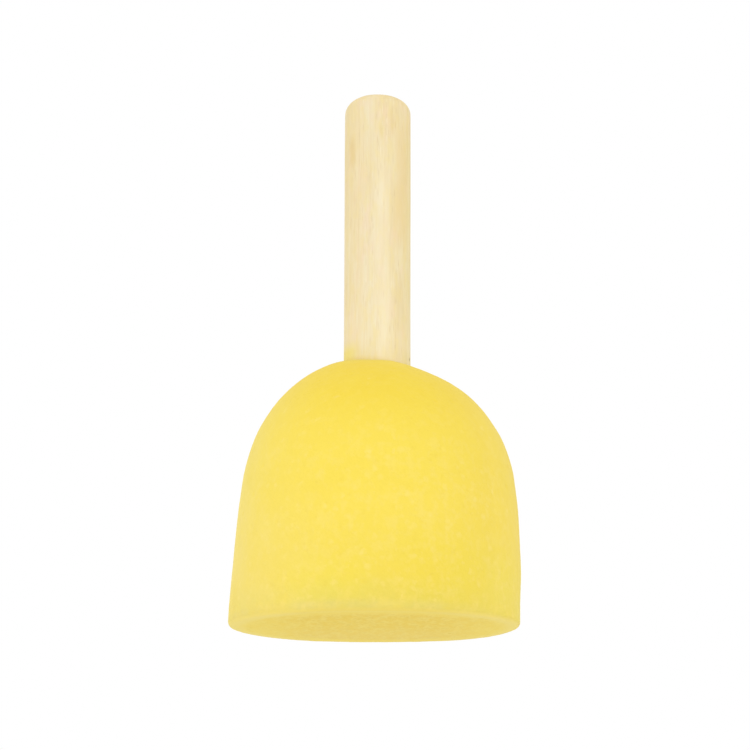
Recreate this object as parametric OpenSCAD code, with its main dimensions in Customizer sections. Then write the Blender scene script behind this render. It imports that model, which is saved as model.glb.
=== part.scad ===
// Foam sponge brush: a fine-celled yellow foam dome glued onto a short wooden dowel.
// The flat foam face lies at z = 0 and the handle points up along +Z.
// All dimensions are in millimetres. Each piece is a half outline turned about the Z axis.

/* [Foam head] */
// Diameter of the foam head
foam_d = 50; // [44:0.5:70]
// Height at which the dome would close on its axis, above the working face
dome_h = 47.8; // [44:0.1:60]
// Roundness of the shoulder: a lower value slopes the top more, 2 is an even round
dome_shoulder = 1.78; // [1.3:0.01:2.2]
// Straightness of the side: a higher value keeps the wall upright for longer
dome_wall = 4.2; // [3:0.05:6]
// Radius of the soft edge around the working face
rim_r = 1; // [0.5:0.1:3]
// Width of the rounded lip where the foam turns down into its socket
lip_w = 0.5; // [0.2:0.05:0.8]

/* [Handle] */
// Diameter of the wooden dowel
handle_d = 12.4; // [9:0.1:16]
// Length of the whole dowel, with the part inside the foam
handle_l = 80; // [72:1:84]
// Length of the whole brush, from the working face to the end of the handle
overall_l = 100; // [98:1:110]
// Radius of the sanded edge at the free end of the handle
end_r = 2; // [0.5:0.1:3]
// How much narrower the buried end is than the shaft, on the diameter
lead_taper = 0.9; // [0.6:0.1:1.6]
// Chamfer on the buried end
lead_chamfer = 1; // [0.4:0.1:2]

/* [Glue] */
// Thickness of the glue film between dowel and foam
glue_t = 0.25; // [0.2:0.05:0.5]
// Thickness of the glue puddle under the dowel
puddle_t = 0.8; // [0.4:0.1:2]
// Height of the bead of glue squeezed out at the mouth of the socket
bead_h = 0.3; // [0.2:0.05:1]

/* [Hidden] */

$fn = 96;
dome_steps = 34;                            // bands up the dome
arc_steps = 6;                              // bands across each small radius

foam_r = foam_d / 2;
handle_r = handle_d / 2;
lead_r = handle_r - lead_taper / 2;         // radius of the dowel at its buried end
seat_z = overall_l - handle_l;              // underside of the dowel
floor_z = seat_z - puddle_t;                // bottom of the socket
lip_depth = 0.8 * lip_w;                    // drop of the lip into the socket
lip_out = handle_r + glue_t + lip_w;        // radius where the lip meets the dome
lip_top = dome_z(lip_out);                  // height where the lip meets the dome
lip_low = lip_top - lip_depth;              // height where the lip meets the socket wall
bead_top = lip_top + bead_h;                // the dowel starts to narrow below this

// Height of the dome's surface at a distance from the axis
function dome_z(radius) =
    dome_h * pow(1 - pow(radius / foam_r, dome_shoulder), 1 / dome_wall);

// Point [radius, z] on the dome's outline: angle runs from 0 at the face to 90 on the axis
function dome_point(angle) = [foam_r * pow(cos(angle), 2 / dome_shoulder),
                              dome_h * pow(sin(angle), 2 / dome_wall)];

// The angle at which that outline passes a height, and a distance from the axis
function angle_at_z(z) = asin(pow(z / dome_h, dome_wall / 2));
function angle_at_radius(radius) = acos(pow(radius / foam_r, dome_shoulder / 2));

// Radius of the dowel's buried part at height z: it narrows evenly towards its end
function lead_at(z) = lead_r + (handle_r - lead_r) * (z - seat_z) / (bead_top - seat_z);

// Radius of the socket wall at height z
function socket_at(z) = lead_at(z) + glue_t;

// Points of an elliptical arc, from one angle to another
function arc(centre, radii, from, to) = [
    for (i = [0 : arc_steps])
        let (angle = from + (to - from) * i / arc_steps)
        [centre[0] + radii[0] * cos(angle), centre[1] + radii[1] * sin(angle)]
];

// Lip and socket, from the dome down to the centre of the socket floor
function socket() = concat(
    arc([lip_out, lip_low], [lip_out - socket_at(lip_low), lip_depth], 90, 180),
    [[socket_at(floor_z), floor_z], [0, floor_z]]
);

// Chamfered end of the dowel, down to its centre
function buried_end() = [
    [lead_at(seat_z + lead_chamfer), seat_z + lead_chamfer],
    [lead_r - lead_chamfer, seat_z],
    [0, seat_z]
];

// Soft foam dome with a blind socket for the dowel
module foam_head() {
    low = angle_at_z(rim_r);
    high = angle_at_radius(lip_out);
    color([0.98, 0.88, 0.38])
    rotate_extrude()
    polygon(concat(
        [[0, 0]],
        arc([foam_r - rim_r, rim_r], [rim_r, rim_r], -90, 0),
        [for (i = [1 : dome_steps - 1]) dome_point(low + (high - low) * i / dome_steps)],
        socket()
    ));
}

// Wooden dowel: straight shaft, sanded free end, slightly tapered buried end
module wooden_handle() {
    color([0.94, 0.87, 0.71])
    rotate_extrude()
    polygon(concat(
        [[0, overall_l]],
        arc([handle_r - end_r, overall_l - end_r], [end_r, end_r], 90, 0),
        [[handle_r, bead_top]],
        buried_end()
    ));
}

// Cured adhesive: puddle under the dowel, film around it and bead at the mouth
module glue_bond() {
    wall = socket();
    bead = arc([handle_r, lip_top], [lip_out - handle_r, bead_h], 0, 90);
    color([0.92, 0.86, 0.66])
    rotate_extrude()
    polygon(concat(
        [for (i = [len(wall) - 1 : -1 : 0]) wall[i]],
        [for (i = [1 : arc_steps]) bead[i]],    // bead[0] is already there as wall[0]
        buried_end()
    ));
}

foam_head();
wooden_handle();
glue_bond();
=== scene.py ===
import math
from itertools import product

import bpy
import numpy as np
from mathutils import Matrix, Vector


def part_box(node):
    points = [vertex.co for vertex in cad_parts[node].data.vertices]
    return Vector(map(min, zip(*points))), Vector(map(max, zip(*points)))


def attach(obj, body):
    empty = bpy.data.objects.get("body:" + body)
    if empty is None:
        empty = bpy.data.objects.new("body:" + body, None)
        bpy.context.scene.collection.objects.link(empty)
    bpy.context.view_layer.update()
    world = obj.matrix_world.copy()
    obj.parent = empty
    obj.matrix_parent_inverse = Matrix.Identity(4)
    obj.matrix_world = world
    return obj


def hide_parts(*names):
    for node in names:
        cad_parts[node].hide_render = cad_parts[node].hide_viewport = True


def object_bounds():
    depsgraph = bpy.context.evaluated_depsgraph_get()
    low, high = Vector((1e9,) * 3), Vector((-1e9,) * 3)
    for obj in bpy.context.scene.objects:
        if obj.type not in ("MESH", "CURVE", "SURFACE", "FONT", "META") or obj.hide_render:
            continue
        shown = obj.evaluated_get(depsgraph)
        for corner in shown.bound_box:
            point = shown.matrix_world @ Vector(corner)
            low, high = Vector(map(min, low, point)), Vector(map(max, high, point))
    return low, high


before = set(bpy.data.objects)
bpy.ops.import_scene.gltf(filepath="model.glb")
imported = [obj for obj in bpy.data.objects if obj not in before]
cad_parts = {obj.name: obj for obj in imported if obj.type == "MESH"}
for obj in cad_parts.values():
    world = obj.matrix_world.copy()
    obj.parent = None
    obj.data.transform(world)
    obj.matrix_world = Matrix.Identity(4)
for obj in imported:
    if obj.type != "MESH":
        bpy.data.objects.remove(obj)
CAD_BOX = [list(c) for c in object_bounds()]
MM = 0.001


# ---------------------------------------------------------------- sizes, in mm
def box_mm(node):
    return [np.array(corner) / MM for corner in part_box(node)]


foam_low, foam_high = box_mm("foam_head")
wood_low, wood_high = box_mm("wooden_handle")
glue_low, glue_high = box_mm("glue_bond")

FOAM_R = (foam_high[1] - foam_low[1]) / 2
FOAM_TOP = foam_high[2]
WOOD_R = (wood_high[1] - wood_low[1]) / 2
WOOD_TOP, WOOD_SEAT = wood_high[2], wood_low[2]
BEAD_TOP, SOCKET_FLOOR = glue_high[2], glue_low[2]

DOME_H = 47.8                     # height of the dome if it closed over the dowel
SHOULDER, WALL = 1.78, 4.2        # dome exponents, across and up: higher is squarer
RIM = 0.86                        # rounding where the side meets the working face
LEAD_R = WOOD_R - 0.45            # the buried end of the dowel tapers to this radius
END_R, CHAMFER = 1.85, 1.0        # rounding of the free end, chamfer of the buried one
GLUE_T = 0.25                     # glue thickness in the socket


# ---------------------------------------------------------------- shaping functions
def ease(value, span):
    """Smooth step from 0 at span[0] to 1 at span[1]; the span may run downwards."""
    start, end = span
    t = np.clip((np.asarray(value, float) - start) / (end - start), 0, 1)
    return t * t * (3 - 2 * t)


def bell(value, at, width):
    return np.exp(-((value - at) / width) ** 2)


def curve(x, stations):
    """Smooth cubic curve through (x, y) stations."""
    xs, ys = np.array(stations, float).T
    slope = np.gradient(ys, xs)
    x = np.clip(x, xs[0], xs[-1])
    i = np.clip(np.searchsorted(xs, x) - 1, 0, len(xs) - 2)
    step = xs[i + 1] - xs[i]
    t = (x - xs[i]) / step
    return (
        (2 * t**3 - 3 * t**2 + 1) * ys[i]
        + (t**3 - 2 * t**2 + t) * step * slope[i]
        + (-2 * t**3 + 3 * t**2) * ys[i + 1]
        + (t**3 - t**2) * step * slope[i + 1]
    )


def hashed(i, j, k, seed):
    """A repeatable random number from 0 to 1 for each whole-number lattice point."""
    with np.errstate(over="ignore"):
        h = (
            i.astype(np.uint32) * np.uint32(374761393)
            + j.astype(np.uint32) * np.uint32(668265263)
            + k.astype(np.uint32) * np.uint32(2147483647)
            + np.uint32(seed) * np.uint32(1274126177)
        )
        h = (h ^ (h >> np.uint32(13))) * np.uint32(1103515245)
        h = (h ^ (h >> np.uint32(15))) * np.uint32(2246822519)
        h = h ^ (h >> np.uint32(16))
    return h.astype(np.float64) / 4294967295.0


def lattice(points, size):
    """Points in cell sizes, kept positive, and the lattice corner below each."""
    scaled = points / np.asarray(size, float) + 4096.0
    return scaled, np.floor(scaled).astype(np.int64)


def noise(points, size, seed):
    """Smooth value noise from -1 to 1. size is in mm, one number or one per axis."""
    scaled, corner = lattice(points, size)
    t = scaled - corner
    t = t * t * t * (t * (t * 6 - 15) + 10)
    out = np.zeros(len(points))
    for a, b, c in product((0, 1), repeat=3):
        weight = (
            np.where(a, t[:, 0], 1 - t[:, 0])
            * np.where(b, t[:, 1], 1 - t[:, 1])
            * np.where(c, t[:, 2], 1 - t[:, 2])
        )
        out += weight * hashed(corner[:, 0] + a, corner[:, 1] + b, corner[:, 2] + c, seed)
    return out * 2 - 1


def cells(points, size, seed):
    """Cellular noise: distance to the nearest and next cell centre, in cell sizes,
    and the nearest cell's own random number."""
    scaled, corner = lattice(points, size)
    nearest = np.full(len(points), 9.0)
    following = np.full(len(points), 9.0)
    own = np.zeros(len(points))
    for step in product((-1, 0, 1), repeat=3):
        cell = [corner[:, axis] + step[axis] for axis in range(3)]
        offsets = [
            scaled[:, axis] - (cell[axis] + 0.1 + 0.8 * hashed(*cell, seed + shift))
            for axis, shift in enumerate((11, 23, 37))
        ]
        gap = np.sqrt(sum(offset ** 2 for offset in offsets))
        near = gap < nearest
        following = np.where(near, nearest, np.minimum(following, gap))
        own = np.where(near, hashed(*cell, seed + 51), own)
        nearest = np.where(near, gap, nearest)
    return nearest, following, own


def pits(points, size, seed):
    """Cells as pits, 1 at the centre and 0 at the wall, with each cell's random number."""
    nearest, following, own = cells(points, size, seed)
    return np.clip(1 - nearest / np.maximum(following, 1e-6), 0, 1), own


# ---------------------------------------------------------------- closed turned skins
def geodesic(splits):
    """An icosahedron with split edges, pushed out to a sphere: even triangles, no poles."""
    g = (1 + 5**0.5) / 2
    corners = np.array(
        [(-1, g, 0), (1, g, 0), (-1, -g, 0), (1, -g, 0), (0, -1, g), (0, 1, g),
         (0, -1, -g), (0, 1, -g), (g, 0, -1), (g, 0, 1), (-g, 0, -1), (-g, 0, 1)], float
    )
    corners /= np.linalg.norm(corners[0])
    faces = [(0, 11, 5), (0, 5, 1), (0, 1, 7), (0, 7, 10), (0, 10, 11), (1, 5, 9), (5, 11, 4),
             (11, 10, 2), (10, 7, 6), (7, 1, 8), (3, 9, 4), (3, 4, 2), (3, 2, 6), (3, 6, 8),
             (3, 8, 9), (4, 9, 5), (2, 4, 11), (6, 2, 10), (8, 6, 7), (9, 8, 1)]
    grid = [(i, j) for i in range(splits + 1) for j in range(splits + 1 - i)]
    at = {spot: k for k, spot in enumerate(grid)}
    small = []
    for i, j in grid:
        if i + j < splits:
            small.append((at[i, j], at[i + 1, j], at[i, j + 1]))
            if i + j < splits - 1:
                small.append((at[i + 1, j], at[i + 1, j + 1], at[i, j + 1]))
    small = np.array(small)
    share = np.array(grid, float) / splits
    u, v = share[:, :1], share[:, 1:]
    points = np.concatenate(
        [corners[a] * (1 - u - v) + corners[b] * u + corners[c] * v for a, b, c in faces])
    tris = np.concatenate([small + k * len(grid) for k in range(len(faces))])
    # weld the points that neighbouring faces share
    _, first, back = np.unique(
        np.round(points, 7), axis=0, return_index=True, return_inverse=True)
    points, tris = points[first], back.reshape(-1)[tris]
    points /= np.linalg.norm(points, axis=1)[:, None]
    # tip the ball so that no corner lies on an axis
    tip = np.array(Matrix.Rotation(0.37, 3, "X") @ Matrix.Rotation(0.21, 3, "Y"))
    return points @ tip.T, tris


def turned(outline, splits, weight):
    """Wraps the geodesic skin over the outline turned about Z, in triangles of even size.
    outline holds (radius, z), from the axis, out and round, back to the axis.
    weight(radius, z) thins the triangles where it is below 1.
    Returns radius, z, cosine and sine of the angle, outward normals and triangles."""
    line = np.asarray(outline, float)
    lengths = np.hypot(*np.diff(line, axis=0).T)
    along = np.r_[0, np.cumsum(lengths)]
    fine = np.linspace(0, along[-1], 6000)
    fine_r = np.interp(fine, along, line[:, 0])
    fine_z = np.interp(fine, along, line[:, 1])
    density = np.maximum(fine_r, 1e-4) * weight(fine_r, fine_z)
    area = np.r_[0, np.cumsum((density[1:] + density[:-1]) / 2)]
    area /= area[-1]
    ball, tris = geodesic(splits)
    at = np.interp((1 + ball[:, 2]) / 2, area, fine)
    radius, z = np.interp(at, fine, fine_r), np.interp(at, fine, fine_z)
    reach = 0.05                  # mm each way along the outline, to find its direction
    run = np.interp(at + reach, fine, fine_r) - np.interp(at - reach, fine, fine_r)
    climb = np.interp(at + reach, fine, fine_z) - np.interp(at - reach, fine, fine_z)
    length = np.maximum(np.hypot(run, climb), 1e-9)
    angle = np.arctan2(ball[:, 1], ball[:, 0])
    cos_a, sin_a = np.cos(angle), np.sin(angle)
    out = climb / length
    normals = np.stack([out * cos_a, out * sin_a, -run / length], 1)
    return radius, z, cos_a, sin_a, normals, tris


def make_mesh(name, points, tris, **attributes):
    mesh = bpy.data.meshes.new(name)
    mesh.vertices.add(len(points))
    mesh.vertices.foreach_set("co", (points * MM).astype(np.float32).ravel())
    mesh.loops.add(len(tris) * 3)
    mesh.loops.foreach_set("vertex_index", tris.astype(np.int32).ravel())
    mesh.polygons.add(len(tris))
    mesh.polygons.foreach_set("loop_start", np.arange(0, len(tris) * 3, 3, dtype=np.int32))
    mesh.update(calc_edges=True)
    mesh.polygons.foreach_set("use_smooth", np.ones(len(tris), bool))
    for key, values in attributes.items():
        attribute = mesh.attributes.new(key, "FLOAT", "POINT")
        attribute.data.foreach_set("value", np.asarray(values, np.float32))
    mesh.validate()
    obj = bpy.data.objects.new(name, mesh)
    bpy.context.scene.collection.objects.link(obj)
    return obj


def arc(centre, radii, degrees, count):
    """Points (radius, z) along an elliptical arc."""
    return [
        (centre[0] + radii[0] * math.cos(t), centre[1] + radii[1] * math.sin(t))
        for t in np.radians(np.linspace(*degrees, count))
    ]


# ---------------------------------------------------------------- where stick and foam meet
def lead_at(z):
    """Radius of the dowel's buried part at height z."""
    return LEAD_R + (WOOD_R - LEAD_R) * np.clip((z - WOOD_SEAT) / (BEAD_TOP - WOOD_SEAT), 0, 1)


def thickness(z):
    """Scale of the dowel's radius: thicker at its free end than where it enters the foam."""
    change = -0.15 + 0.29 * ease(z, span=(BEAD_TOP - 12, WOOD_TOP + 6))
    return 1 + change / WOOD_R * ease(z, span=(WOOD_SEAT, BEAD_TOP - 2))


NECK = float(WOOD_R * thickness(FOAM_TOP))   # radius of the stick where it enters the foam
LIP_OUT = WOOD_R + 1.15           # the soft lip starts this far from the axis
LIP_IN = NECK + 0.12              # and turns down into the socket here
LIP_DROP = 0.9                    # height of the lip's rounding
LIP_TOP = float(DOME_H * (1 - (LIP_OUT / FOAM_R) ** SHOULDER) ** (1 / WALL))
MOUTH_SINK = 0.16                 # how far the whole mouth is drawn down

# (cosine of the angle from +X, drop of the foam's top): high on the left, low on the right
MOUTH_TILT = [
    (-1.0, -0.80), (-0.7, -0.59), (-0.42, -0.26), (-0.2, -0.06), (0.0, 0.0),
    (0.25, 0.05), (0.5, 0.32), (0.7, 0.58), (1.0, 0.90),
]


# ---------------------------------------------------------------- foam head
# (z, shift of the head along X)
HEAD_LEAN = [(0, -0.40), (3, -0.34), (10, 0.0), (16, 0.18), (26, 0.30), (34, 0.14), (39, 0.0)]
# (z, growth in radius)
HEAD_SWELL = [
    (0, 0), (16, 0), (20, 0), (23, 0.02), (26.8, 0.13), (29.7, 0.09),
    (32.7, 0.03), (35.6, -0.08), (38.6, -0.10), (41.6, -0.11), (44, -0.04), (46, 0),
]


def foam_outline():
    outline = [(0, 0), (FOAM_R - RIM, 0)]
    outline += arc((FOAM_R - RIM, RIM), (RIM, RIM), degrees=(-90, 0), count=14)[1:]
    for t in np.radians(np.linspace(0, 90, 200)[1:]):
        z = DOME_H * math.sin(t) ** (2 / WALL)
        radius = FOAM_R * math.cos(t) ** (2 / SHOULDER)
        if z > RIM and radius > LIP_OUT:
            outline.append((radius, z))
    outline += arc((LIP_OUT, LIP_TOP - LIP_DROP), (LIP_OUT - LIP_IN, LIP_DROP),
                   degrees=(90, 180), count=12)
    return outline + [(lead_at(SOCKET_FLOOR) + GLUE_T, SOCKET_FLOOR), (0, SOCKET_FLOOR)]


def head_growth(radius, z, cos_a, sin_a, deep):
    """Uneven growth of the head's radius."""
    growth = -(0.06 + 0.13 * ease(cos_a, span=(0.2, 0.9)))        # slack side, more on +X
    growth = growth * ease(z, span=(8, 16)) * ease(z, span=(34, 24)) * (1 - deep)
    turn = np.degrees(np.arctan2(sin_a, cos_a))                   # a swell low at the back right
    growth += (0.50 * bell(turn, at=38, width=22)
               * ease(z, span=(10, 2)) * ease(radius, span=(14, 24)))
    growth += (curve(z, HEAD_SWELL) * ease(radius, span=(9, 12))
               * (1 - 0.55 * ease(cos_a, span=(0, 0.6)) * ease(z, span=(34, 40))))
    growth += (0.045 * cos_a * ease(z, span=(24, 27)) * ease(z, span=(35, 32))
               * ease(radius, span=(9, 12)))
    return growth


def build_foam():
    radius, z, cos_a, sin_a, normals, tris = turned(
        foam_outline(), 93,
        lambda radius, z: np.where((radius < LIP_IN + 0.02) & (z > 0.5), 0.10, 1.0))
    inside_lip = radius < LIP_OUT
    socket = (radius < LIP_IN + 0.05) & (z > 0.5)          # hidden wall and floor
    deep = np.where(z > 0.5, ease(z, span=(LIP_TOP - 0.3, LIP_TOP - 3.0)) * inside_lip, 0)
    # 1 on the flat working face
    flat = ease(radius, span=(FOAM_R - 0.75, FOAM_R - 1.75)) * (z < 0.3)
    # 0 on the side, rising to 1 round the rim and under it
    down = ease(-normals[:, 2], span=(0.18, 0.90)) * (z < 2.0)

    # the head was cut by hand from a block: it leans, swells and tilts at the mouth
    lean = curve(z, HEAD_LEAN) * (1 - deep) * np.where((z > 30) & (radius < 12), 0, 1)
    tilt = -curve(cos_a, MOUTH_TILT) * (1 - ease(radius, span=(10, 23.5)))
    tilt = tilt - MOUTH_SINK * (1 - ease(radius, span=(11, 22)))
    tilt = tilt * (z > 26) * (1 - ease(z, span=(LIP_TOP - 1, LIP_TOP - 9)) * inside_lip)
    growth = head_growth(radius, z, cos_a, sin_a, deep)
    points = np.stack(
        [(radius + growth) * cos_a + lean, (radius + growth) * sin_a, z + tilt], 1)

    loose = (1 - deep) * np.where(socket, 0.0, 1.0)
    snug = ease(radius, span=(NECK + 0.1, NECK + 2.5))     # keeps the lip snug on the dowel
    # broad, soft unevenness, then a gather of the foam where the dowel goes in
    broad = 0.10 * noise(points, size=17.0, seed=3) + 0.05 * noise(points, size=7.0, seed=5)
    gather = (-0.22 * bell(radius - WOOD_R, at=0.6, width=1.7) * (z > 30)
              * (1 + 0.35 * noise(points, size=3.1, seed=9)))
    points += normals * (broad * loose * snug * np.where(flat > 0.5, 0.35, 1.0))[:, None]
    points[:, 2] += gather * (1 - deep)
    # the face is a touch hollow: a strip about x = 0 lies higher
    points[:, 2] += (0.05 * (1 - ease(np.abs(points[:, 0]), span=(8, 20)))
                     * ease(z, span=(1.5, 0.3)) * loose)

    # the foam's cells are small pits with raised walls, more open on the cut face
    pit, own = pits(points, size=0.92, seed=71)
    small_pit, _ = pits(points, size=0.60, seed=17)
    patch = 0.5 + 0.5 * noise(points, size=5.5, seed=21)
    depth = (0.022 + 0.030 * own) * (0.75 + 0.5 * patch)
    face_depth = 0.035 + 0.060 * own
    relief = (-(depth * pit + 0.018 * small_pit) * (1 - flat)
              - (face_depth * pit + 0.03 * small_pit) * flat)
    relief += 0.016 * noise(points, size=0.8, seed=29)
    # a few torn cells stand open as deeper pits, but not on the rim
    torn = (own > 0.93) * ease(pit, span=(0.25, 0.7))
    torn = torn * np.maximum(
        ease(radius, span=(FOAM_R - 1.4, FOAM_R - 2.4)), ease(z, span=(0.8, 2.0)))
    relief -= torn * (0.06 + 0.08 * flat)
    relief *= loose * ease(radius, span=(NECK + 0.10, NECK + 0.8))
    points += normals * relief[:, None]
    points[:, 2] = np.maximum(points[:, 2], 0.0)

    return make_mesh(
        "foam_dome", points, tris,
        pit=pit * (0.5 + 0.5 * own) * (1 - down * (1 - flat)),
        torn=torn,
        cell=own,
        face=ease(radius, span=(FOAM_R - 0.9, FOAM_R - 4.0)) * (z < 0.3),
        down=down,
    )


# ---------------------------------------------------------------- wooden dowel
PITH = np.array([17.0, -23.0])    # x, y of the tree's centre, outside the dowel
RING_PITCH = 1.35
SPECK_ANGLE = math.radians(-14)   # a small dark pinhole low on the shaft
SPECK = np.array([
    WOOD_R * math.cos(SPECK_ANGLE), WOOD_R * math.sin(SPECK_ANGLE), BEAD_TOP + 1.15])


def growth_rings(points):
    """Ring count outwards from the pith, with wander and uneven spacing."""
    ring = (np.hypot(points[:, 0] - PITH[0], points[:, 1] - PITH[1])
            + 0.30 * noise(points, size=(13.0, 13.0, 34.0), seed=61)
            + 0.9 * noise(points * (0, 0, 1), size=40.0, seed=63))
    ring = ring / RING_PITCH + 0.10 * noise(points * (1, 1, 0), size=2.4, seed=65)
    return ring + 0.22 * np.sin(ring * 1.9) + 0.10 * np.sin(ring * 4.3)


def build_wood():
    outline = [
        (0, WOOD_SEAT), (LEAD_R - CHAMFER, WOOD_SEAT),
        (lead_at(WOOD_SEAT + CHAMFER), WOOD_SEAT + CHAMFER), (WOOD_R, BEAD_TOP),
        *arc((WOOD_R - END_R, WOOD_TOP - END_R), (END_R, END_R), degrees=(0, 90), count=16),
        (0, WOOD_TOP),
    ]
    radius, z, cos_a, sin_a, normals, tris = turned(
        outline, 84,
        lambda radius, z: np.where(z < FOAM_TOP - 2, 0.12, 1.0))
    points = np.stack([radius * cos_a, radius * sin_a, z], 1)
    cap = ease(radius, span=(WOOD_R - 0.2, WOOD_R - 1.5)) * (z > 90)
    side = 1 - cap
    # fibres run along the dowel: fine ridges, open pores, soft unevenness from sanding
    fibre = noise(points, size=(0.42, 0.42, 9.0), seed=41)
    fine = noise(points, size=(0.22, 0.22, 4.0), seed=43)
    hand = noise(points, size=(7.0, 7.0, 22.0), seed=47)
    nearest, _, own = cells(points, size=(0.5, 0.5, 3.4), seed=53)
    pore = (own > 0.80) * ease(nearest, span=(0.34, 0.10))
    relief = side * (0.007 * fibre + 0.004 * fine - 0.022 * pore) + 0.03 * hand * side
    # the sawn and sanded end: shallow rings, pinholes and slight unevenness
    ring = growth_rings(points)
    ring_wave = 0.5 + 0.5 * np.cos(2 * math.pi * ring)
    nearest, _, own = cells(points, size=(0.45, 0.45, 1.5), seed=67)
    relief += cap * (-0.006 * ring_wave
                     - 0.030 * (own > 0.78) * ease(nearest, span=(0.38, 0.1))
                     + 0.008 * noise(points, size=0.5, seed=71)
                     + 0.010 * noise(points, size=4.0, seed=75))
    # a soft, uneven arris, worn more on the left
    arris = (ease(z, span=(WOOD_TOP - 2.6, WOOD_TOP - 0.7))
             * ease(radius, span=(WOOD_R - 3.0, WOOD_R - 0.6)))
    circle = np.stack([cos_a * 6, sin_a * 6, z * 0], 1)
    relief += arris * (-0.02 - 0.04 * ease(cos_a, span=(-0.2, -0.6))
                       + 0.045 * noise(circle, size=3.2, seed=73))
    speck = bell(np.linalg.norm(points - SPECK, axis=1), at=0, width=0.26)
    relief -= 0.12 * speck
    relief *= ease(z, span=(BEAD_TOP - 3.0, BEAD_TOP - 1.0))
    points += normals * relief[:, None]
    points[:, :2] *= thickness(z)[:, None]
    return make_mesh(
        "dowel_handle", points, tris, cap=cap, pore=pore * side, speck=speck, ring=ring)


# ---------------------------------------------------------------- glue
GLUE_GAP = 0.03                   # clearance to the socket, so the skins don't touch
BROW = LIP_TOP - 0.22             # the lip's height where the gather has drawn it down


def build_glue():
    outline = [
        # socket floor and wall
        (0, SOCKET_FLOOR + GLUE_GAP),
        (lead_at(SOCKET_FLOOR) + GLUE_T - 2 * GLUE_GAP, SOCKET_FLOOR + GLUE_GAP),
        (LIP_IN - GLUE_GAP, LIP_TOP - 1.3),
        # the bead that shows in the mouth
        (LIP_IN + 0.12, BROW - 0.70), (LIP_IN + 0.38, BROW - 0.44),
        (LIP_IN + 0.24, BROW - 0.30), (LIP_IN + 0.10, BROW - 0.17),
        (NECK + 0.06, BROW - 0.01), (NECK - 0.03, BROW + 0.09),
        (NECK - 0.07, BROW + 0.04), (NECK - 0.08, BROW - 0.6),
        # back down along the dowel
        (lead_at(WOOD_SEAT + CHAMFER), WOOD_SEAT + CHAMFER),
        (LEAD_R - CHAMFER, WOOD_SEAT), (0, WOOD_SEAT),
    ]
    radius, z, cos_a, sin_a, _, tris = turned(
        outline, 36,
        lambda radius, z: np.where(z > LIP_TOP - 1.2, 12.0, 0.25))
    points = np.stack([radius * cos_a, radius * sin_a, z], 1)
    # the bead oozes out unevenly round the dowel and follows the tilted mouth
    bead = ease(z, span=(BROW - 0.75, BROW - 0.40))
    circle = np.stack([cos_a * WOOD_R, sin_a * WOOD_R, z * 0], 1)
    ooze = np.clip(0.5 + 0.5 * noise(circle, size=3.4, seed=81)
                   + 0.35 * noise(circle, size=1.3, seed=83), 0, 1.2)
    spread = bead * ease(radius, span=(NECK, LIP_IN + 0.3)) * (ooze - 0.45) * 0.40
    points[:, 0] += cos_a * spread
    points[:, 1] += sin_a * spread
    points[:, 2] += (bead * (ooze - 0.55) * 0.16
                     - (curve(cos_a, MOUTH_TILT) + MOUTH_SINK) * bead)
    return make_mesh("glue_seam", points, tris)


# ---------------------------------------------------------------- shader building
def screen(colour):
    """A colour as it shows on screen (0 to 255), in the linear values that shaders use."""
    def linear(v):
        v /= 255.0
        return v / 12.92 if v <= 0.04045 else ((v + 0.055) / 1.055) ** 2.4
    return (*map(linear, colour), 1.0)


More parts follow.
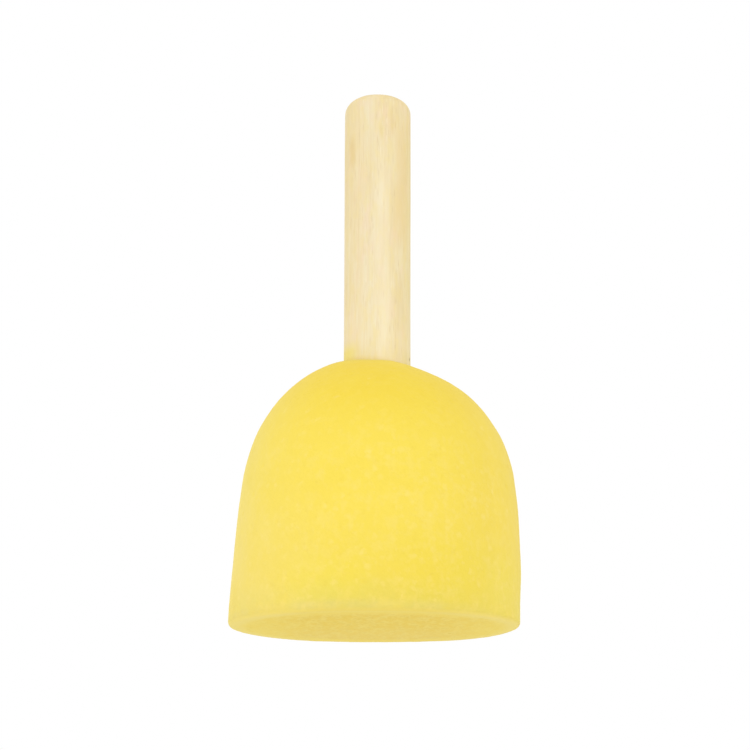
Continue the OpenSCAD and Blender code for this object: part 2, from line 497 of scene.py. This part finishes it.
class Net:
    """The node tree of a material or world. Values may be numbers or sockets."""

    def __init__(self, owner, output="ShaderNodeOutputMaterial"):
        owner.use_nodes = True
        self.owner = owner
        self.tree = owner.node_tree
        self.tree.nodes.clear()
        self.out = self.add(output)

    def add(self, kind, inputs=None, **settings):
        node = self.tree.nodes.new(kind)
        for key, value in settings.items():
            setattr(node, key, value)
        for key, value in (inputs or {}).items():
            self.put(node.inputs[key], value)
        return node

    def put(self, socket, value):
        if isinstance(value, bpy.types.NodeSocket):
            self.tree.links.new(value, socket)
        else:
            socket.default_value = value

    def math(self, operation, *values):
        inputs = dict(enumerate(values))
        return self.add("ShaderNodeMath", inputs, operation=operation).outputs[0]

    def times(self, first, *others):
        for other in others:
            first = self.math("MULTIPLY", first, other)
        return first

    def ramp(self, value, span, to=(0, 1)):
        """Smooth step from to[0] at span[0] to to[1] at span[1]."""
        inputs = dict(enumerate((value, *span, *to)))
        node = self.add("ShaderNodeMapRange", inputs, interpolation_type="SMOOTHSTEP")
        return node.outputs[0]

    def mix(self, amount, first, second, blend="MIX"):
        inputs = {0: amount, 6: first, 7: second}
        return self.add("ShaderNodeMix", inputs, data_type="RGBA", blend_type=blend).outputs[2]

    def mix_shader(self, amount, first, second):
        inputs = {0: amount, 1: first.outputs[0], 2: second.outputs[0]}
        self.put(self.out.inputs["Surface"], self.add("ShaderNodeMixShader", inputs).outputs[0])

    def noise(self, place, scale=1.0, detail=2.0, rough=0.5, output="Fac"):
        inputs = {"Vector": place, "Scale": scale, "Detail": detail, "Roughness": rough}
        return self.add("ShaderNodeTexNoise", inputs).outputs[output]

    def voronoi(self, place, scale=1.0):
        outputs = self.add("ShaderNodeTexVoronoi", {"Vector": place, "Scale": scale}).outputs
        return outputs["Distance"], outputs["Color"]

    def place(self, x=1.0, y=1.0, z=1.0):
        """The position in mm, scaled along each axis."""
        scale = tuple(1000.0 * v for v in (x, y, z))
        coord = self.add("ShaderNodeTexCoord").outputs["Object"]
        return self.add("ShaderNodeMapping", {"Vector": coord, "Scale": scale}).outputs[0]

    def axes(self, vector):
        return self.add("ShaderNodeSeparateXYZ", {"Vector": vector}).outputs[:]

    def attribute(self, name):
        return self.add("ShaderNodeAttribute", attribute_name=name).outputs["Fac"]

    def facing(self):
        return self.add("ShaderNodeLayerWeight", {"Blend": 0.5}).outputs["Facing"]

    def surface(self, look, height, strength, distance):
        """A principled surface with bump; distance is in metres."""
        bump = self.add("ShaderNodeBump", {
            "Height": height, "Strength": strength, "Distance": distance})
        bsdf = self.add("ShaderNodeBsdfPrincipled", {**look, "Normal": bump.outputs[0]})
        self.put(self.out.inputs["Surface"], bsdf.outputs[0])


class Coat:
    """A colour built up in layers, each shown by the product of its masks."""

    def __init__(self, net, base):
        self.net = net
        self.colour = screen(base)

    def over(self, colour, *masks, strength=None):
        """Lays on a screen colour or a colour socket."""
        if not isinstance(colour, bpy.types.NodeSocket):
            colour = screen(colour)
        if strength is not None:
            masks += (strength,)
        self.colour = self.net.mix(self.net.times(*masks), self.colour, colour)

    def shade(self, factors, *masks):
        """Multiplies the colour so far by red, green and blue factors."""
        amount = self.net.times(*masks)
        shaded = self.net.mix(1.0, self.colour, (*factors, 1.0), "MULTIPLY")
        self.colour = self.net.mix(amount, self.colour, shaded)


# ---------------------------------------------------------------- foam material
def pale_flecks(net, coat, pos, x, z):
    """Cell walls that catch the light, more of them low down and on the right."""
    ramp = net.ramp
    bend = net.noise(pos, scale=1.3, output="Color")
    bent = net.add("ShaderNodeVectorMath", {0: bend, 1: (1.1, 1.1, 1.1), 2: pos},
                   operation="MULTIPLY_ADD")
    distance, colour = net.voronoi(bent.outputs[0], scale=0.98)
    chance = net.add("ShaderNodeSeparateColor", {"Color": colour}).outputs
    share = net.math("ADD", ramp(z, span=(36, 12), to=(-0.04, 0.46)),
                     ramp(x, span=(-20, 24), to=(0.02, 0.08)))
    patchy = net.noise(pos, scale=0.11, detail=1)
    share = net.math("ADD", share, ramp(patchy, span=(0.35, 0.65), to=(-0.12, 0.12)))
    shown = net.math("LESS_THAN", chance[0], share)
    ragged = net.times(net.noise(pos, scale=2), 0.50)
    shape = ramp(net.math("ADD", distance, ragged), span=(1.00, 0.26))
    # a few flecks are much brighter than the rest
    bright = net.math("POWER", chance[1], 2.5)
    bright = net.math("ADD", net.times(bright, 0.62), 0.22)
    coat.over((254, 232, 139), shown, shape, bright, strength=0.52)


def face_colour(net, torn, y, wide, out):
    """The cut working face: duller and coarser, with painted light towards the sides and near
    the rim, and painted shade in the torn cells.
    """
    ramp = net.ramp
    coat = Coat(net, (240, 212, 95))
    grain, _ = net.voronoi(net.place(y=0.55), scale=1.45)
    coat.over((247, 222, 112), ramp(grain, span=(0.15, 0.65)))
    blotch = net.noise(net.place(y=0.35), scale=0.55, detail=3, rough=0.65)
    coat.over((243, 212, 84), ramp(blotch, span=(0.38, 0.62), to=(0, 0.75)))
    coat.over((244, 221, 136), ramp(y, span=(-8, 22), to=(0, 0.30)))
    # painted light towards both sides of the face
    coat.over((252, 229, 110), ramp(wide, span=(9, 23), to=(0, 0.62)))
    # painted shade in the torn cells
    coat.over((214, 180, 72), torn, strength=0.35)
    # painted light near the rim, about the middle
    coat.over((251, 227, 110), ramp(out, span=(18, 22)),
              ramp(wide, span=(18, 10), to=(0, 0.60)))
    return coat.colour


def foam_material():
    net = Net(bpy.data.materials.new("foam"))
    ramp = net.ramp
    pos = net.place()
    x, y, z = net.axes(pos)
    face, down, pit, torn = (net.attribute(k) for k in ("face", "down", "pit", "torn"))
    wide = net.math("ABSOLUTE", x)
    out = net.math("SQRT", net.math("ADD", net.math("POWER", x, 2), net.math("POWER", y, 2)))

    # a clear warm yellow, duller low down, and deeper on the shoulder: partly painted shade
    # where the top is lit less
    coat = Coat(net, (251, 226, 93))
    coat.over((244, 221, 92), ramp(z, span=(22, 2)))
    coat.over((243, 212, 53), ramp(z, span=(24, 46.5)))
    # painted sheen: paler where the side turns away, and on the left
    coat.over((247, 226, 128), ramp(net.facing(), span=(0.30, 0.95)),
              ramp(z, span=(46, 18), to=(0.10, 1)), ramp(x, span=(24, -8), to=(0.42, 0.75)))
    coat.over((249, 227, 118), ramp(x, span=(-6, -25)), strength=0.45)
    # the dull band above the rim
    band = net.mix(ramp(wide, span=(10, 23)), screen((229, 215, 112)), screen((235, 221, 121)))
    coat.over(band, ramp(z, span=(6.6, 1.2)), strength=0.80)
    # a painted highlight: a thin pale line just above the rim, where the side starts to turn
    # under
    above = net.math("SUBTRACT", z, ramp(x, span=(15, 21), to=(1.15, 0.15)))
    broken = net.noise(pos, scale=0.45, detail=1)
    coat.over((231, 216, 131), ramp(above, span=(0.90, 0)),
              ramp(above, span=(-1.4, -0.1), to=(0.55, 1)),
              ramp(broken, span=(0.30, 0.70), to=(0.45, 0.85)))
    # painted sheen, less of it on the right side and more on the lower left
    coat.over((247, 217, 88), ramp(x, span=(6, 22), to=(0, 0.42)))
    coat.over((249, 228, 130), ramp(x, span=(-4, -18), to=(0, 0.40)), ramp(z, span=(24, 8)))
    # stronger yellow low down, about x = 10 and x = -8
    aside = net.math("ABSOLUTE", net.math("SUBTRACT", x, 10))
    coat.over((245, 222, 72), ramp(aside, span=(9, 3)), ramp(z, span=(16, 7), to=(0, 0.35)),
              ramp(z, span=(0.9, 2.4), to=(0.55, 1)))
    aside = net.math("ABSOLUTE", net.math("ADD", x, 8))
    coat.over((248, 232, 78), ramp(aside, span=(10, 3)), ramp(z, span=(11, 5), to=(0, 0.22)),
              ramp(z, span=(1.2, 2.6)))
    # the lower right
    coat.over((244, 233, 98), ramp(x, span=(8, 22), to=(0, 0.35)), ramp(z, span=(16, 5)))
    # painted shade where the stick enters the foam, which is drawn in there; the second layer is
    # broken up by noise
    coat.shade((0.890, 0.950, 1.06), ramp(out, span=(11.6, 8.4)), ramp(z, span=(38, 42)))
    mouth_shade_breakup = net.noise(pos, scale=0.30, detail=1)
    coat.shade((0.965, 0.955, 1.08), ramp(out, span=(11.8, 8.8)), ramp(z, span=(38, 42)),
               ramp(mouth_shade_breakup, span=(0.35, 0.65), to=(0.60, 1)))
    # the upper side, a touch deeper: partly painted shade where it is lit less
    coat.shade((0.984, 0.986, 0.935), ramp(z, span=(15, 24)), ramp(z, span=(44, 38)))
    # soft mottling from uneven cell density
    veil = net.noise(pos, scale=0.62, rough=0.6)
    coat.over((251, 229, 132), ramp(veil, span=(0.45, 0.68), to=(0, 0.26)),
              ramp(z, span=(40, 22), to=(0.25, 1)))
    mottle = net.noise(pos, scale=0.16, detail=3)
    coat.over((247, 222, 84), ramp(mottle, span=(0.35, 0.70), to=(0, 0.35)))
    # fine cells: painted shade at the bottom of each, in the pits and in the torn cells
    fine_cell, _ = net.voronoi(pos, scale=2.3)
    coat.over((241, 210, 74), ramp(fine_cell, span=(0.55, 0.05)), strength=0.08)
    coat.over((242, 212, 76), pit, strength=0.10)
    coat.over((236, 204, 70), torn, strength=0.06)
    pale_flecks(net, coat, pos, x, z)
    # painted light round the rim and under it, with a stronger painted arc near the middle, then
    # the face
    under = net.mix(ramp(wide, span=(7, 19)), screen((245, 221, 109)), screen((250, 228, 122)))
    coat.over(under, down)
    aside = net.math("ABSOLUTE", net.math("ADD", x, 1.5))
    brim = net.times(ramp(out, span=(24.5, 24)), ramp(aside, span=(14, 7)))
    coat.over((248, 224, 104), down, brim)
    coat.over(face_colour(net, torn, y, wide, out), face)

    # bump for cells too fine for the mesh
    height = net.math("ADD", net.times(fine_cell, 1.0), net.times(net.noise(pos, scale=5), 0.6))
    net.surface({
        "Base Color": coat.colour,
        "Specular IOR Level": 0.18,
        "Sheen Weight": ramp(face, span=(0, 1), to=(0.20, 0.10)),
        "Sheen Roughness": 0.55,
        "Sheen Tint": (1.0, 0.93, 0.62, 1.0),
        "Roughness": ramp(fine_cell, span=(0, 0.7), to=(0.86, 0.97)),
    }, height, strength=0.55, distance=0.00006)
    return net.owner


# ---------------------------------------------------------------- wood material
def shaft_bands(net, coat, x, z):
    """Bands of colour along the shaft, which wander a little as they climb: painted shade
    towards both edges, a painted highlight near the middle, and darker streaks.
    """
    wander = net.math("SUBTRACT", net.noise(net.place(0.10, 0.10, 0.05), detail=1), 0.5)
    across = net.math("ADD", x, net.times(wander, 2.4))

    def band(colour, strength, at, half, bottom=None, top=None, soft=4.0):
        """A band at x = at, of half width half, faded by soft at its bottom and top."""
        aside = net.math("ABSOLUTE", net.math("SUBTRACT", across, at))
        masks = [net.ramp(aside, span=(half, half * 0.2))]
        if bottom is not None:
            masks.append(net.ramp(z, span=(bottom - soft, bottom + soft)))
        if top is not None:
            masks.append(net.ramp(z, span=(top + soft, top - soft)))
        coat.over(colour, *masks, strength=strength)

    # painted shade: tan bands towards both edges, where the shaft turns away
    tan = (240, 215, 162)
    band(tan, strength=0.35, at=-3.9, half=2.3)
    band(tan, strength=0.58, at=4.2, half=1.6, bottom=70, top=94, soft=5)
    # painted shade: olive along the right edge
    coat.over((236, 215, 148), net.ramp(across, span=(4.4, 5.8)), net.ramp(z, span=(98, 90)),
              strength=0.40)
    # a painted highlight: a pale band near the middle
    band((249, 236, 203), strength=0.38, at=1.0, half=2.2, top=84, soft=8)
    # then short darker streaks, and a broader darker band near the free end
    band((232, 203, 138), strength=0.50, at=-4.7, half=0.9, bottom=85.5, top=91, soft=1.6)
    band((230, 204, 142), strength=0.34, at=3.0, half=0.45, bottom=91.5, top=96.5, soft=1.2)
    band((230, 206, 140), strength=0.30, at=0.9, half=0.6, bottom=89.8, top=92.7, soft=0.9)
    band((238, 221, 174), strength=0.34, at=-1.0, half=1.8, bottom=88, soft=5)


def end_grain(net, late, patch, x, y):
    """The free end: darker, with the rings showing, fine pores and rays from the pith."""
    coat = Coat(net, (238, 219, 176))
    coat.over((214, 184, 130), late, strength=0.55)
    dots, _ = net.voronoi(net.place(3.4, 3.4, 0.8))
    coat.over((190, 156, 102), net.ramp(dots, span=(0.30, 0.06), to=(0, 0.30)))
    far = math.hypot(*PITH)
    away_x, away_y = -float(PITH[0]) / far, -float(PITH[1]) / far
    ray_along, ray_across = 0.35, 4.2       # pattern scale along and across the rays
    along = net.math("ADD", net.times(x, away_x * ray_along), net.times(y, away_y * ray_along))
    across = net.math(
        "ADD", net.times(x, -away_y * ray_across), net.times(y, away_x * ray_across))
    rays = net.noise(net.add("ShaderNodeCombineXYZ", {"X": along, "Y": across}).outputs[0])
    coat.over((246, 232, 198), net.ramp(rays, span=(0.48, 0.72), to=(0, 0.45)))
    coat.over((228, 204, 156), net.ramp(patch, span=(0.35, 0.65), to=(0, 0.35)))
    return coat.colour


def wood_material():
    net = Net(bpy.data.materials.new("wood"))
    ramp = net.ramp
    x, y, z = net.axes(net.place())
    cap, pore, speck = (net.attribute(k) for k in ("cap", "pore", "speck"))
    # growth rings, as laid out with the mesh
    saw = net.math("FRACT", net.attribute("ring"))
    late = net.times(ramp(saw, span=(0.30, 0.93)), ramp(saw, span=(1.0, 0.95)))
    # fibres, streaks and patches, all drawn out along the grain
    fibre = net.noise(net.place(3.4, 3.4, 0.16), detail=3, rough=0.6)
    streak = net.noise(net.place(1.15, 1.15, 0.045))
    patch = net.noise(net.place(0.26, 0.26, 0.07))
    pink = net.noise(net.place(0.42, 0.42, 0.16))
    coat = Coat(net, (244, 230, 193))
    coat.over((240, 221, 175), ramp(patch, span=(0.30, 0.70)))
    coat.over((230, 203, 148), late, strength=0.22)
    coat.over((233, 208, 142), ramp(streak, span=(0.50, 0.78), to=(0, 0.27)))
    coat.over((246, 219, 186), ramp(pink, span=(0.50, 0.72), to=(0, 0.45)))
    boost = ramp(z, span=(78, 90), to=(1, 1.4))      # the grain is stronger near the free end
    coat.over((226, 204, 156), boost, ramp(fibre, span=(0.52, 0.76), to=(0, 0.48)))
    coat.over((250, 239, 208), boost, ramp(fibre, span=(0.42, 0.24), to=(0, 0.42)))
    # short dashes and flecks in the grain, and uneven yellowing
    dash, dash_colour = net.voronoi(net.place(2.4, 2.4, 0.44))
    pick = net.add("ShaderNodeSeparateColor", {"Color": dash_colour}).outputs[0]
    blob = ramp(dash, span=(0.62, 0.12))
    coat.over((226, 204, 154), blob, ramp(pick, span=(0.62, 1), to=(0, 0.34)))
    coat.over((251, 238, 206), blob, ramp(pick, span=(0.36, 0), to=(0, 0.34)))
    aged = net.noise(net.place(0.95, 0.95, 0.34), rough=0.6)
    coat.over((242, 222, 156), ramp(aged, span=(0.42, 0.68), to=(0, 0.45)))
    coat.over((205, 172, 112), pore, strength=0.22)
    shaft_bands(net, coat, x, z)
    # painted shade: yellower where the shaft turns away
    coat.shade((1.0, 0.985, 0.905), ramp(net.facing(), span=(0.04, 0.55)),
               ramp(z, span=(48, 74), to=(0.25, 1)))
    # painted light at the foot, lifting the shade that the foam below casts there
    coat.shade((1.025, 1.036, 1.045), ramp(z, span=(66, 50)))
    coat.shade((1.025, 1.030, 1.085), ramp(x, span=(0.8, 3.6)), ramp(z, span=(54, 49.5)))
    # a touch less yellow on the left half, and painted light along both edges, lifting their
    # shade
    coat.shade((0.985, 1.0, 1.055), ramp(x, span=(1.5, -1.5)))
    coat.shade((1.03, 1.035, 1.08), ramp(x, span=(-3.4, -5)), ramp(z, span=(64, 54)))
    coat.shade((1.01, 1.03, 1.11), ramp(x, span=(5, 5.9)), ramp(z, span=(94, 88)))
    coat.over(end_grain(net, late, patch, x, y), cap)
    # a faint yellow tint at the foot, by height above the tilted mouth
    mouth_slope = 0.137
    up = net.math("SUBTRACT", net.math("ADD", z, net.times(x, mouth_slope)), BEAD_TOP)
    foot_tint_noise = net.noise(net.place(0.5, 0.5, 0.3))
    coat.over((241, 224, 136), ramp(up, span=(4.6, -0.2)),
              ramp(foot_tint_noise, span=(0.30, 0.70), to=(0.25, 1)),
              net.math("ADD", ramp(x, span=(-1.5, -4.5), to=(0.10, 0.40)),
                       ramp(x, span=(4, 5.8), to=(0, 0.40))))
    # a second tint, on the left, thinning out round the back
    coat.over((245, 227, 126), ramp(up, span=(3.6, 0.9)),
              ramp(x, span=(-2.8, -5.2), to=(0, 0.80)), ramp(y, span=(0.8, 4.5), to=(1, 0.30)))
    # painted shade: a darker line right at the seam with the foam
    coat.over((235, 211, 112), ramp(up, span=(0.55, -0.45), to=(0, 0.42)))
    coat.over((120, 104, 66), speck, strength=0.95)

    height = net.math("ADD", net.times(fibre, -1.0), net.times(late, -0.4))
    net.surface({
        "Base Color": coat.colour,
        "Roughness": ramp(fibre, span=(0.2, 0.8), to=(0.58, 0.74)),
        "Specular IOR Level": 0.32,
    }, height, strength=0.22, distance=0.00006)
    return net.owner


# ---------------------------------------------------------------- glue material
def glue_material():
    net = Net(bpy.data.materials.new("glue"))
    pos = net.place()
    cloud = net.noise(pos, scale=0.9, detail=3)
    coat = Coat(net, (250, 228, 124))
    coat.over((245, 218, 100), net.ramp(cloud, span=(0.35, 0.65)))
    net.surface({
        "Base Color": coat.colour,
        "Roughness": net.ramp(cloud, span=(0.3, 0.7), to=(0.38, 0.60)),
        "Specular IOR Level": 0.5,
        "Subsurface Weight": 0.40,
        "Subsurface Radius": (0.0012, 0.0009, 0.0004),
        "Subsurface Scale": 1.0,
    }, net.noise(pos, scale=1.8, detail=3), strength=0.5, distance=0.0001)
    return net.owner


# ---------------------------------------------------------------- the brush
foam, wood, glue = build_foam(), build_wood(), build_glue()
for piece, material, slot, node in (
    (foam, foam_material(), "foam", "foam_head"),
    (wood, wood_material(), "wood", "wooden_handle"),
    (glue, glue_material(), "glue", "glue_bond"),
):
    piece.data.materials.append(material)
    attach(piece, "root")
    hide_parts(node)

# ---------------------------------------------------------------- studio, in metres
scene = bpy.context.scene
FLOOR_R, FLOOR_Z, FLOOR_SIDES = 0.8, -0.0002, 96
ROOM_LOW, ROOM_HIGH = 0.867, 0.926     # strength of the room's light from below and above


def floor_material():
    """Pale, with a painted shadow under the brush, fading out far away and clear from below."""
    net = Net(bpy.data.materials.new("floor"))
    geometry = net.add("ShaderNodeNewGeometry").outputs
    ray = net.add("ShaderNodeLightPath").outputs
    distance = net.add("ShaderNodeVectorMath", {0: geometry["Position"]},
                       operation="LENGTH").outputs["Value"]
    cloud = net.noise(net.place(0.02, 0.02, 0.02))
    pale = net.mix(net.ramp(cloud, span=(0.3, 0.7)),
                   (0.90, 0.90, 0.895, 1), (0.92, 0.92, 0.918, 1))
    # a painted shadow under the brush, for camera rays only
    painted_contact_shadow = net.times(
        net.ramp(distance, span=(0.036, 0.024), to=(0, 0.55)), ray["Is Camera Ray"])
    pale = net.mix(painted_contact_shadow, pale, (0.62, 0.62, 0.62, 1))
    # light that leaves the brush right at the floor passes through
    touching = net.math("LESS_THAN", ray["Ray Length"], 0.0012)
    gone = net.math("MAXIMUM", geometry["Backfacing"], net.ramp(distance, span=(0.10, 0.62)))
    gone = net.math("MAXIMUM", gone, touching)
    net.mix_shader(gone, net.add("ShaderNodeBsdfDiffuse", {"Color": pale}),
                   net.add("ShaderNodeBsdfTransparent"))
    return net.owner


def build_floor():
    turns = [2 * math.pi * i / FLOOR_SIDES for i in range(FLOOR_SIDES)]
    edge = [(FLOOR_R * math.cos(t), FLOOR_R * math.sin(t), FLOOR_Z) for t in turns]
    mesh = bpy.data.meshes.new("floor")
    mesh.from_pydata(edge, [], [list(range(FLOOR_SIDES))])
    mesh.update()
    floor = bpy.data.objects.new("floor", mesh)
    scene.collection.objects.link(floor)
    mesh.materials.append(floor_material())
    # the floor lets light through to the working face
    floor.visible_glossy = False
    floor.visible_transmission = False
    floor.visible_shadow = False


def build_world():
    """Soft light from all round, a little weaker from below; the camera sees white."""
    scene.world = bpy.data.worlds.new("studio")
    net = Net(scene.world, "ShaderNodeOutputWorld")
    _, _, up = net.axes(net.add("ShaderNodeTexCoord").outputs["Generated"])
    room = net.add("ShaderNodeBackground", {
        "Color": (1.0, 0.997, 0.990, 1),
        "Strength": net.ramp(up, span=(-0.9, 0.35), to=(ROOM_LOW, ROOM_HIGH))})
    white = net.add("ShaderNodeBackground", {"Color": (1, 1, 1, 1), "Strength": 1.0})
    net.mix_shader(net.add("ShaderNodeLightPath").outputs["Is Camera Ray"], room, white)


def build_key_light(centre):
    """A soft disc in front of the brush, a little to the left, aimed at its centre."""
    data = bpy.data.lights.new("key", "AREA")
    data.shape = "DISK"
    data.size = 0.45
    data.energy = 0.60
    key = bpy.data.objects.new("key", data)
    key.location = centre + Vector((-0.12, -0.64, 0.02))
    key.rotation_euler = (centre - key.location).to_track_quat("-Z", "Y").to_euler()
    key.visible_camera = False
    scene.collection.objects.link(key)


def build_camera(bottom):
    """Close to the brush and a little below its working face, looking up."""
    data = bpy.data.cameras.new("camera")
    data.sensor_width = 36.0
    data.lens = 63.504
    data.clip_start = 0.01
    data.clip_end = 5.0
    camera = bpy.data.objects.new("camera", data)
    scene.collection.objects.link(camera)
    pitch, roll = math.radians(17.09), math.radians(0.16)
    camera.location = (-0.00040, -0.230, bottom - 0.02514)
    camera.rotation_euler = (
        Matrix.Rotation(math.pi / 2 + pitch, 3, "X") @ Matrix.Rotation(roll, 3, "Z")
    ).to_euler()
    scene.camera = camera


box_low, box_high = [Vector(corner) for corner in CAD_BOX]
build_floor()
build_world()
build_key_light((box_low + box_high) / 2)
build_camera(box_low.z)
scene.view_settings.view_transform = "Standard"
scene.view_settings.look = "None"
